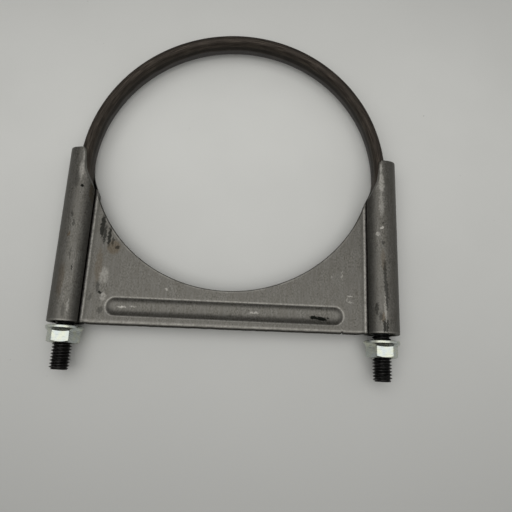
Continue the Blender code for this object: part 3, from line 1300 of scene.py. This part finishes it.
        piece = Piece(
            "saddle_sheet",
            np.concatenate([front.reshape(-1, 3), back.reshape(-1, 3)]),
            quads,
            [self.steel.build(self.oil_marks(), self.rust_marks(), self.worn_and_highlight_marks(),
                              self.layout.origin)],
            values={k: np.concatenate([v.ravel(), v.ravel()]) for k, v in values.items()},
        )
        return piece.place(Body.SADDLE, "saddle", "bare_steel", self.layout.origin)


@dataclass
class FlangeNut:
    """A forged hexagon nut with a flange, for the 3/8 inch thread."""

    layout: Layout
    side: Side
    zinc: bpy.types.Material
    turn: float
    across_flats: float = 9 / 16 * INCH
    corner_round: float = 0.12
    flange_radius: float = 9.1
    rim_round: float = 0.4
    rim_height: float = 1.5
    flats_top: float = 3.0
    chamfer_radius: float = 6.9
    bore_radius: float = 5.06
    countersink: float = 0.45
    pitch: float = INCH / 16
    thread_depth: float = 0.45
    sides: int = 120

    def hexagon(self, angle: Array) -> Array:
        """Radius of the hexagon in each direction, with slightly rounded corners.

        Args:
            angle: Directions, with a corner at 30 degrees.

        Returns:
            The radii.
        """
        swing = (angle + math.pi / 6) % (math.pi / 3) - math.pi / 6
        flat = self.across_flats / 2 / np.cos(swing)
        corner = self.across_flats / 2 / math.cos(math.pi / 6) - self.corner_round
        return soft_min(flat, np.full_like(flat, corner), 0.06)

    def build(self) -> bpy.types.Object:
        """Make the nut.

        Returns:
            The finished object.
        """
        angle = 2 * math.pi * np.arange(self.sides) / self.sides
        height, hexagon = self.layout.nut_height, self.hexagon(angle)
        flat, plain = self.across_flats / 2, np.ones(self.sides)
        out = (hexagon - flat) / (hexagon.max() - flat)
        chamfer = height - (hexagon - self.chamfer_radius) / math.tan(math.radians(60))
        rings = [(self.bore_radius + 0.4, 0.0), (7.0, 0.0)]
        for turn in np.linspace(90, 0, 5):
            fall = math.radians(turn)
            rings.append((self.flange_radius - self.rim_round * (1 - math.cos(fall)),
                          self.rim_round * (1 - math.sin(fall))))
        rings += [(self.flange_radius, self.rim_height - 0.2),
                  (self.flange_radius - 0.12, self.rim_height)]
        skirt = self.flats_top - 0.35 * out
        for share in (0.35, 0.7, 0.93):
            reach = (self.flange_radius - 0.12) * (1 - share) + (hexagon + 0.05) * share
            rings.append((reach, self.rim_height + (skirt - self.rim_height) * share**0.8))
        rings += [(hexagon, skirt + 0.12), (hexagon, (skirt + chamfer) / 2),
                  (hexagon, chamfer - 0.1), (hexagon - 0.06, chamfer),
                  (self.chamfer_radius - 0.02, height - 0.01), (self.chamfer_radius - 0.5, height),
                  (self.bore_radius + self.countersink, height),
                  (self.bore_radius + 0.05, height - self.countersink)]
        steps = int((height - 2 * self.countersink) / (self.pitch / 8))
        for depth in np.linspace(height - self.countersink - 0.1, self.countersink, steps):
            phase = np.abs((-depth / self.pitch - angle / (2 * math.pi)) % 1.0 - 0.5) * 2
            rings.append((self.bore_radius + self.thread_depth * np.clip(1.3 * phase - 0.15, 0, 1),
                          depth))
        spin = angle + math.radians(self.turn)
        rows = []
        for radius, depth in rings:
            rows.append(np.stack([radius * np.sin(spin) * plain, -depth * plain,
                                  radius * np.cos(spin) * plain], axis=1))
        points = np.array(rows)
        points += (self.side.value * self.layout.leg, self.layout.nut_seat[self.side], 0.0)
        numbers = np.arange(points.shape[0] * self.sides).reshape(-1, self.sides)
        numbers = np.concatenate([numbers, numbers[:1]])
        word = self.side.name.lower()
        piece = Piece(f"zinc_flange_nut_{word}", points.reshape(-1, 3),
                      grid_faces(numbers, closed=True, flip=True), [self.zinc], crease=28.0)
        body = Body.NUT_LEFT if self.side is Side.LEFT else Body.NUT_RIGHT
        return piece.place(body, f"flange_nut_{word}", "zinc_plate", self.layout.origin)


# ----------------------------------------
# The studio
# ----------------------------------------


@dataclass(frozen=True)
class Softbox:
    """A rectangular studio light that looks at the middle of the clamp.

    Places are in millimetres from there.
    """

    name: str
    place: tuple[float, float, float]
    size: tuple[float, float]
    brightness: float
    colour: str = "#FFFFFF"

    def light(self) -> bpy.types.Object:
        """Make the light, with the power that gives its face this brightness.

        Returns:
            The light's object.
        """
        width, height = (s * MM for s in self.size)
        lamp = bpy.data.lights.new(self.name, "AREA")
        lamp.shape = "RECTANGLE"
        lamp.size, lamp.size_y = width, height
        lamp.energy = self.brightness * math.pi * width * height
        lamp.color = linear(self.colour)[:3]
        item = bpy.data.objects.new(self.name, lamp)
        place = Vector(self.place) * MM
        item.location = place
        item.rotation_euler = place.to_track_quat("Z", "Y").to_euler()
        item.visible_camera = False
        bpy.context.scene.collection.objects.link(item)
        return item


@dataclass(frozen=True)
class BlackCard(Finish):
    """Matt black card, faintly clouded, that the steel's rounded edges reflect as a dark line."""

    metallic: float = 0.0

    def build(self) -> bpy.types.Material:
        """Make the material.

        Returns:
            The finished material.
        """
        tree, shader, material = self.start()
        cloud = self.noise(tree, self.grain)
        base = self.tone(tree, linear(self.dark), cloud, self.light, 0.35, 0.65)
        self.dress(tree, shader, base, self.roughness, cloud)
        return material


@dataclass
class Studio:
    """Plain pale board, soft light from above and both sides, a black card in front, and the camera.

    The board lies level under the clamp. The card stands on it, facing the nuts, out of the camera's
    sight. Places and sizes are in millimetres.
    """

    board: bpy.types.Material
    card: bpy.types.Material
    sky: str = "#FFFFFF"
    sky_strength: float = 0.25
    camera_place: tuple[float, float, float] = (13.54, -98.365, 254.55)
    camera_turn: tuple[float, float, float] = (0.254, -0.005, 0.044)
    lens: float = 33.75
    board_size: float = 6000.0
    card_distance: float = -450.0
    card_size: tuple[float, float] = (900.0, 260.0)
    boxes: tuple[Softbox, ...] = (
        Softbox("overhead_softbox", (-40.0, -110.0, 850.0), (1350.0, 1150.0), 1.22),
        Softbox("left_softbox", (-1300.0, 100.0, 600.0), (900.0, 1300.0), 0.30),
        Softbox("right_softbox", (1300.0, 100.0, 600.0), (900.0, 1300.0), 0.30),
    )

    def build(self) -> None:
        """Make the board, the card, the lights, the sky and the camera."""
        self.sheet("table_top", (0.0, 0.0, 0.0), (self.board_size, self.board_size), self.board)
        middle = (0.0, self.card_distance, self.card_size[1] / 2)
        flag = self.sheet("black_card", middle, self.card_size, self.card)
        flag.rotation_euler.x = math.pi / 2
        flag.visible_camera = False
        for box in self.boxes:
            box.light()
        scene = bpy.context.scene
        scene.world = bpy.data.worlds.new("studio_sky")
        scene.world.use_nodes = True
        sky = scene.world.node_tree.nodes["Background"]
        sky.inputs["Color"].default_value = linear(self.sky)
        sky.inputs["Strength"].default_value = self.sky_strength
        scene.view_settings.view_transform = "Standard"
        self.set_camera()
        LOG.info("studio: %d softboxes", len(self.boxes))

    @staticmethod
    def sheet(name: str, place: tuple[float, float, float], size: tuple[float, float],
              material: bpy.types.Material) -> bpy.types.Object:
        """Make a flat, level sheet that belongs to the studio.

        Args:
            name: Its name.
            place: Its middle, in millimetres.
            size: Its size along x and y, in millimetres.
            material: Its material.

        Returns:
            The sheet's object.
        """
        wide, deep = (s * MM / 2 for s in size)
        mesh = bpy.data.meshes.new(name)
        mesh.from_pydata([(-wide, -deep, 0), (wide, -deep, 0), (wide, deep, 0), (-wide, deep, 0)],
                         [], [(0, 1, 2, 3)])
        mesh.materials.append(material)
        item = bpy.data.objects.new(name, mesh)
        item.location = Vector(place) * MM
        bpy.context.scene.collection.objects.link(item)
        return item

    def set_camera(self) -> None:
        """Put the camera over the nuts, leaning towards the crown of the arch."""
        camera = bpy.data.cameras.new("camera")
        camera.lens = self.lens
        item = bpy.data.objects.new("camera", camera)
        tilt, swing, roll = self.camera_turn
        turned = Matrix.Rotation(swing, 4, "Y") @ Matrix.Rotation(tilt, 4, "X")
        turned = turned @ Matrix.Rotation(roll, 4, "Z")
        item.matrix_world = Matrix.Translation(Vector(self.camera_place) * MM) @ turned
        bpy.context.scene.collection.objects.link(item)
        bpy.context.scene.camera = item


def main() -> None:
    """Build the clamp piece by piece, then the studio."""
    logging.basicConfig(level=logging.INFO, format="%(name)s: %(message)s")
    layout = Layout()
    steel = PressedSteel("bare_pressed_steel", "#575550", "#696762", "#7A7872", 0.43, 0.7, 0.010)
    scale = MillScale("oiled_mill_scale", "#322D29", "#413C37", "#5B544C", 0.62, 0.5, 0.015)
    thread = OiledThread("oiled_rolled_thread", "#222221", "#323130", "#62615E", 0.36, 0.35, 0.01)
    zinc = ZincPlate("bright_zinc_plate", "#8F9694", "#B9C0BE", "#CBCECA", 0.26, 0.3, 0.006)
    board = BoardWithPaintedShade("board_with_painted_shade", "#CCCCC7", "#DCDCD7", "#E0E0DB", 0.55, 0.5, 0.01)
    UBolt(layout, scale.build(), thread.build()).build()
    Saddle(layout, steel).build()
    plated = zinc.build()
    FlangeNut(layout, Side.LEFT, plated, 7.5).build()
    FlangeNut(layout, Side.RIGHT, plated, -1.0).build()
    card = BlackCard("matt_black_card", "#0C0C0C", "#101010", "#161616", 0.8, 4.0, 0.02)
    Studio(board.build(), card.build()).build()


if __name__ == "__main__":
    main()
